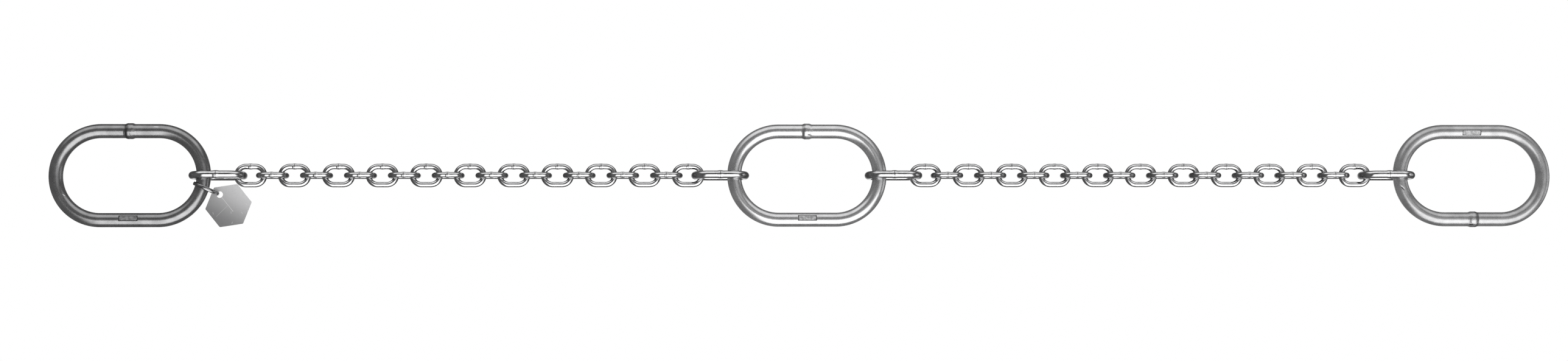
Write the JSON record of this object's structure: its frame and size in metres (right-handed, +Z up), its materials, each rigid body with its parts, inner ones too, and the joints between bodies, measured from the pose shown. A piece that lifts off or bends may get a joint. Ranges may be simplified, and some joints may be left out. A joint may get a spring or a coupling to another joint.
{
  "type": "pump lifting chain",
  "caption": "Stainless lifting chain for a submersible pump: oblong master links joined by runs of welded chain through enlarged end links, with a blank hexagonal tag on a split ring.",
  "frame": {"origin": "where a hook bears: the middle of the inner face of the top master link's upper crown", "axes": "+Z up, against the load, with the chain hanging straight down along -Z; master links lie in the XZ plane, their stamping flats face -Y, and the tag hangs on the -X side"},
  "size_m": [0.0956, 0.0323, 1.3748],
  "materials": {
    "master_steel": "tumbled satin stainless steel",
    "link_steel": "bright polished stainless steel",
    "ring_steel": "dark spring steel",
    "tag_steel": "matt sheet stainless steel"
  },
  "bodies": {
    "top_master_link": {"top_master_link": "master_steel"},
    "upper_run_top_end_link": {"upper_run_top_end_link": "link_steel"},
    "upper_run_link_01": {"upper_run_link_01": "link_steel"},
    "upper_run_link_02": {"upper_run_link_02": "link_steel"},
    "upper_run_link_03": {"upper_run_link_03": "link_steel"},
    "upper_run_link_04": {"upper_run_link_04": "link_steel"},
    "upper_run_link_05": {"upper_run_link_05": "link_steel"},
    "upper_run_link_06": {"upper_run_link_06": "link_steel"},
    "upper_run_link_07": {"upper_run_link_07": "link_steel"},
    "upper_run_link_08": {"upper_run_link_08": "link_steel"},
    "upper_run_link_09": {"upper_run_link_09": "link_steel"},
    "upper_run_link_10": {"upper_run_link_10": "link_steel"},
    "upper_run_link_11": {"upper_run_link_11": "link_steel"},
    "upper_run_link_12": {"upper_run_link_12": "link_steel"},
    "upper_run_link_13": {"upper_run_link_13": "link_steel"},
    "upper_run_link_14": {"upper_run_link_14": "link_steel"},
    "upper_run_link_15": {"upper_run_link_15": "link_steel"},
    "upper_run_link_16": {"upper_run_link_16": "link_steel"},
    "upper_run_link_17": {"upper_run_link_17": "link_steel"},
    "upper_run_link_18": {"upper_run_link_18": "link_steel"},
    "upper_run_link_19": {"upper_run_link_19": "link_steel"},
    "upper_run_link_20": {"upper_run_link_20": "link_steel"},
    "upper_run_link_21": {"upper_run_link_21": "link_steel"},
    "upper_run_bottom_end_link": {"upper_run_bottom_end_link": "link_steel"},
    "middle_master_link": {"middle_master_link": "master_steel"},
    "lower_run_top_end_link": {"lower_run_top_end_link": "link_steel"},
    "lower_run_link_01": {"lower_run_link_01": "link_steel"},
    "lower_run_link_02": {"lower_run_link_02": "link_steel"},
    "lower_run_link_03": {"lower_run_link_03": "link_steel"},
    "lower_run_link_04": {"lower_run_link_04": "link_steel"},
    "lower_run_link_05": {"lower_run_link_05": "link_steel"},
    "lower_run_link_06": {"lower_run_link_06": "link_steel"},
    "lower_run_link_07": {"lower_run_link_07": "link_steel"},
    "lower_run_link_08": {"lower_run_link_08": "link_steel"},
    "lower_run_link_09": {"lower_run_link_09": "link_steel"},
    "lower_run_link_10": {"lower_run_link_10": "link_steel"},
    "lower_run_link_11": {"lower_run_link_11": "link_steel"},
    "lower_run_link_12": {"lower_run_link_12": "link_steel"},
    "lower_run_link_13": {"lower_run_link_13": "link_steel"},
    "lower_run_link_14": {"lower_run_link_14": "link_steel"},
    "lower_run_link_15": {"lower_run_link_15": "link_steel"},
    "lower_run_link_16": {"lower_run_link_16": "link_steel"},
    "lower_run_link_17": {"lower_run_link_17": "link_steel"},
    "lower_run_link_18": {"lower_run_link_18": "link_steel"},
    "lower_run_link_19": {"lower_run_link_19": "link_steel"},
    "lower_run_link_20": {"lower_run_link_20": "link_steel"},
    "lower_run_link_21": {"lower_run_link_21": "link_steel"},
    "lower_run_bottom_end_link": {"lower_run_bottom_end_link": "link_steel"},
    "bottom_master_link": {"bottom_master_link": "master_steel"},
    "tag_ring": {"tag_ring": "ring_steel"},
    "rating_tag": {"rating_tag": "tag_steel"}
  },
  "joints": [
    {"name": "upper_run_top_end_link_swing", "type": "hinge", "parent": "top_master_link", "child": "upper_run_top_end_link", "pos_m": [0, 0, -0.1265], "axis": [1, 0, 0], "range_deg": [-90, 90]},
    {"name": "upper_run_link_01_swing", "type": "hinge", "parent": "upper_run_top_end_link", "child": "upper_run_link_01", "pos_m": [0, 0, -0.16235], "axis": [0, -1, 0], "range_deg": [0, 90]},
    {"name": "upper_run_link_02_swing", "type": "hinge", "parent": "upper_run_link_01", "child": "upper_run_link_02", "pos_m": [0, 0, -0.1812], "axis": [-1, 0, 0], "range_deg": [-90, 90]},
    {"name": "upper_run_link_03_swing", "type": "hinge", "parent": "upper_run_link_02", "child": "upper_run_link_03", "pos_m": [0, 0, -0.20105], "axis": [0, 1, 0], "range_deg": [-90, 90]},
    {"name": "upper_run_link_04_swing", "type": "hinge", "parent": "upper_run_link_03", "child": "upper_run_link_04", "pos_m": [0, 0, -0.2209], "axis": [1, 0, 0], "range_deg": [-90, 90]},
    {"name": "upper_run_link_05_swing", "type": "hinge", "parent": "upper_run_link_04", "child": "upper_run_link_05", "pos_m": [0, 0, -0.24075], "axis": [0, -1, 0], "range_deg": [-90, 90]},
    {"name": "upper_run_link_06_swing", "type": "hinge", "parent": "upper_run_link_05", "child": "upper_run_link_06", "pos_m": [0, 0, -0.2606], "axis": [-1, 0, 0], "range_deg": [-90, 90]},
    {"name": "upper_run_link_07_swing", "type": "hinge", "parent": "upper_run_link_06", "child": "upper_run_link_07", "pos_m": [0, 0, -0.28045], "axis": [0, 1, 0], "range_deg": [-90, 90]},
    {"name": "upper_run_link_08_swing", "type": "hinge", "parent": "upper_run_link_07", "child": "upper_run_link_08", "pos_m": [0, 0, -0.3003], "axis": [1, 0, 0], "range_deg": [-90, 90]},
    {"name": "upper_run_link_09_swing", "type": "hinge", "parent": "upper_run_link_08", "child": "upper_run_link_09", "pos_m": [0, 0, -0.32015], "axis": [0, -1, 0], "range_deg": [-90, 90]},
    {"name": "upper_run_link_10_swing", "type": "hinge", "parent": "upper_run_link_09", "child": "upper_run_link_10", "pos_m": [0, 0, -0.34], "axis": [-1, 0, 0], "range_deg": [-90, 90]},
    {"name": "upper_run_link_11_swing", "type": "hinge", "parent": "upper_run_link_10", "child": "upper_run_link_11", "pos_m": [0, 0, -0.35985], "axis": [0, 1, 0], "range_deg": [-90, 90]},
    {"name": "upper_run_link_12_swing", "type": "hinge", "parent": "upper_run_link_11", "child": "upper_run_link_12", "pos_m": [0, 0, -0.3797], "axis": [1, 0, 0], "range_deg": [-90, 90]},
    {"name": "upper_run_link_13_swing", "type": "hinge", "parent": "upper_run_link_12", "child": "upper_run_link_13", "pos_m": [0, 0, -0.39955], "axis": [0, -1, 0], "range_deg": [-90, 90]},
    {"name": "upper_run_link_14_swing", "type": "hinge", "parent": "upper_run_link_13", "child": "upper_run_link_14", "pos_m": [0, 0, -0.4194], "axis": [-1, 0, 0], "range_deg": [-90, 90]},
    {"name": "upper_run_link_15_swing", "type": "hinge", "parent": "upper_run_link_14", "child": "upper_run_link_15", "pos_m": [0, 0, -0.43925], "axis": [0, 1, 0], "range_deg": [-90, 90]},
    {"name": "upper_run_link_16_swing", "type": "hinge", "parent": "upper_run_link_15", "child": "upper_run_link_16", "pos_m": [0, 0, -0.4591], "axis": [1, 0, 0], "range_deg": [-90, 90]},
    {"name": "upper_run_link_17_swing", "type": "hinge", "parent": "upper_run_link_16", "child": "upper_run_link_17", "pos_m": [0, 0, -0.47895], "axis": [0, -1, 0], "range_deg": [-90, 90]},
    {"name": "upper_run_link_18_swing", "type": "hinge", "parent": "upper_run_link_17", "child": "upper_run_link_18", "pos_m": [0, 0, -0.4988], "axis": [-1, 0, 0], "range_deg": [-90, 90]},
    {"name": "upper_run_link_19_swing", "type": "hinge", "parent": "upper_run_link_18", "child": "upper_run_link_19", "pos_m": [0, 0, -0.51865], "axis": [0, 1, 0], "range_deg": [-90, 90]},
    {"name": "upper_run_link_20_swing", "type": "hinge", "parent": "upper_run_link_19", "child": "upper_run_link_20", "pos_m": [0, 0, -0.5385], "axis": [1, 0, 0], "range_deg": [-90, 90]},
    {"name": "upper_run_link_21_swing", "type": "hinge", "parent": "upper_run_link_20", "child": "upper_run_link_21", "pos_m": [0, 0, -0.55835], "axis": [0, -1, 0], "range_deg": [-90, 90]},
    {"name": "upper_run_bottom_end_link_swing", "type": "hinge", "parent": "upper_run_link_21", "child": "upper_run_bottom_end_link", "pos_m": [0, 0, -0.5782], "axis": [-1, 0, 0], "range_deg": [-90, 90]},
    {"name": "middle_master_link_swing", "type": "hinge", "parent": "upper_run_bottom_end_link", "child": "middle_master_link", "pos_m": [0, 0, -0.61805], "axis": [0, 1, 0], "range_deg": [-80, 80]},
    {"name": "lower_run_top_end_link_swing", "type": "hinge", "parent": "middle_master_link", "child": "lower_run_top_end_link", "pos_m": [0, 0, -0.7409], "axis": [1, 0, 0], "range_deg": [-90, 90]},
    {"name": "lower_run_link_01_swing", "type": "hinge", "parent": "lower_run_top_end_link", "child": "lower_run_link_01", "pos_m": [0, 0, -0.77675], "axis": [0, -1, 0], "range_deg": [-90, 90]},
    {"name": "lower_run_link_02_swing", "type": "hinge", "parent": "lower_run_link_01", "child": "lower_run_link_02", "pos_m": [0, 0, -0.7956], "axis": [-1, 0, 0], "range_deg": [-90, 90]},
    {"name": "lower_run_link_03_swing", "type": "hinge", "parent": "lower_run_link_02", "child": "lower_run_link_03", "pos_m": [0, 0, -0.81545], "axis": [0, 1, 0], "range_deg": [-90, 90]},
    {"name": "lower_run_link_04_swing", "type": "hinge", "parent": "lower_run_link_03", "child": "lower_run_link_04", "pos_m": [0, 0, -0.8353], "axis": [1, 0, 0], "range_deg": [-90, 90]},
    {"name": "lower_run_link_05_swing", "type": "hinge", "parent": "lower_run_link_04", "child": "lower_run_link_05", "pos_m": [0, 0, -0.85515], "axis": [0, -1, 0], "range_deg": [-90, 90]},
    {"name": "lower_run_link_06_swing", "type": "hinge", "parent": "lower_run_link_05", "child": "lower_run_link_06", "pos_m": [0, 0, -0.875], "axis": [-1, 0, 0], "range_deg": [-90, 90]},
    {"name": "lower_run_link_07_swing", "type": "hinge", "parent": "lower_run_link_06", "child": "lower_run_link_07", "pos_m": [0, 0, -0.89485], "axis": [0, 1, 0], "range_deg": [-90, 90]},
    {"name": "lower_run_link_08_swing", "type": "hinge", "parent": "lower_run_link_07", "child": "lower_run_link_08", "pos_m": [0, 0, -0.9147], "axis": [1, 0, 0], "range_deg": [-90, 90]},
    {"name": "lower_run_link_09_swing", "type": "hinge", "parent": "lower_run_link_08", "child": "lower_run_link_09", "pos_m": [0, 0, -0.93455], "axis": [0, -1, 0], "range_deg": [-90, 90]},
    {"name": "lower_run_link_10_swing", "type": "hinge", "parent": "lower_run_link_09", "child": "lower_run_link_10", "pos_m": [0, 0, -0.9544], "axis": [-1, 0, 0], "range_deg": [-90, 90]},
    {"name": "lower_run_link_11_swing", "type": "hinge", "parent": "lower_run_link_10", "child": "lower_run_link_11", "pos_m": [0, 0, -0.97425], "axis": [0, 1, 0], "range_deg": [-90, 90]},
    {"name": "lower_run_link_12_swing", "type": "hinge", "parent": "lower_run_link_11", "child": "lower_run_link_12", "pos_m": [0, 0, -0.9941], "axis": [1, 0, 0], "range_deg": [-90, 90]},
    {"name": "lower_run_link_13_swing", "type": "hinge", "parent": "lower_run_link_12", "child": "lower_run_link_13", "pos_m": [0, 0, -1.01395], "axis": [0, -1, 0], "range_deg": [-90, 90]},
    {"name": "lower_run_link_14_swing", "type": "hinge", "parent": "lower_run_link_13", "child": "lower_run_link_14", "pos_m": [0, 0, -1.0338], "axis": [-1, 0, 0], "range_deg": [-90, 90]},
    {"name": "lower_run_link_15_swing", "type": "hinge", "parent": "lower_run_link_14", "child": "lower_run_link_15", "pos_m": [0, 0, -1.05365], "axis": [0, 1, 0], "range_deg": [-90, 90]},
    {"name": "lower_run_link_16_swing", "type": "hinge", "parent": "lower_run_link_15", "child": "lower_run_link_16", "pos_m": [0, 0, -1.0735], "axis": [1, 0, 0], "range_deg": [-90, 90]},
    {"name": "lower_run_link_17_swing", "type": "hinge", "parent": "lower_run_link_16", "child": "lower_run_link_17", "pos_m": [0, 0, -1.09335], "axis": [0, -1, 0], "range_deg": [-90, 90]},
    {"name": "lower_run_link_18_swing", "type": "hinge", "parent": "lower_run_link_17", "child": "lower_run_link_18", "pos_m": [0, 0, -1.1132], "axis": [-1, 0, 0], "range_deg": [-90, 90]},
    {"name": "lower_run_link_19_swing", "type": "hinge", "parent": "lower_run_link_18", "child": "lower_run_link_19", "pos_m": [0, 0, -1.13305], "axis": [0, 1, 0], "range_deg": [-90, 90]},
    {"name": "lower_run_link_20_swing", "type": "hinge", "parent": "lower_run_link_19", "child": "lower_run_link_20", "pos_m": [0, 0, -1.1529], "axis": [1, 0, 0], "range_deg": [-90, 90]},
    {"name": "lower_run_link_21_swing", "type": "hinge", "parent": "lower_run_link_20", "child": "lower_run_link_21", "pos_m": [0, 0, -1.17275], "axis": [0, -1, 0], "range_deg": [-90, 90]},
    {"name": "lower_run_bottom_end_link_swing", "type": "hinge", "parent": "lower_run_link_21", "child": "lower_run_bottom_end_link", "pos_m": [0, 0, -1.1926], "axis": [-1, 0, 0], "range_deg": [-90, 90]},
    {"name": "bottom_master_link_swing", "type": "hinge", "parent": "lower_run_bottom_end_link", "child": "bottom_master_link", "pos_m": [0, 0, -1.23245], "axis": [0, 1, 0], "range_deg": [-80, 80]},
    {"name": "tag_ring_swing", "type": "hinge", "parent": "top_master_link", "child": "tag_ring", "pos_m": [-0.01028, 0, -0.12517], "axis": [-0.9135, 0, 0.4067], "range_deg": [-90, 90]},
    {"name": "rating_tag_swing", "type": "hinge", "parent": "tag_ring", "child": "rating_tag", "pos_m": [-0.01737, 0, -0.14111], "axis": [0, 1, 0], "range_deg": [0, 16]}
  ]
}
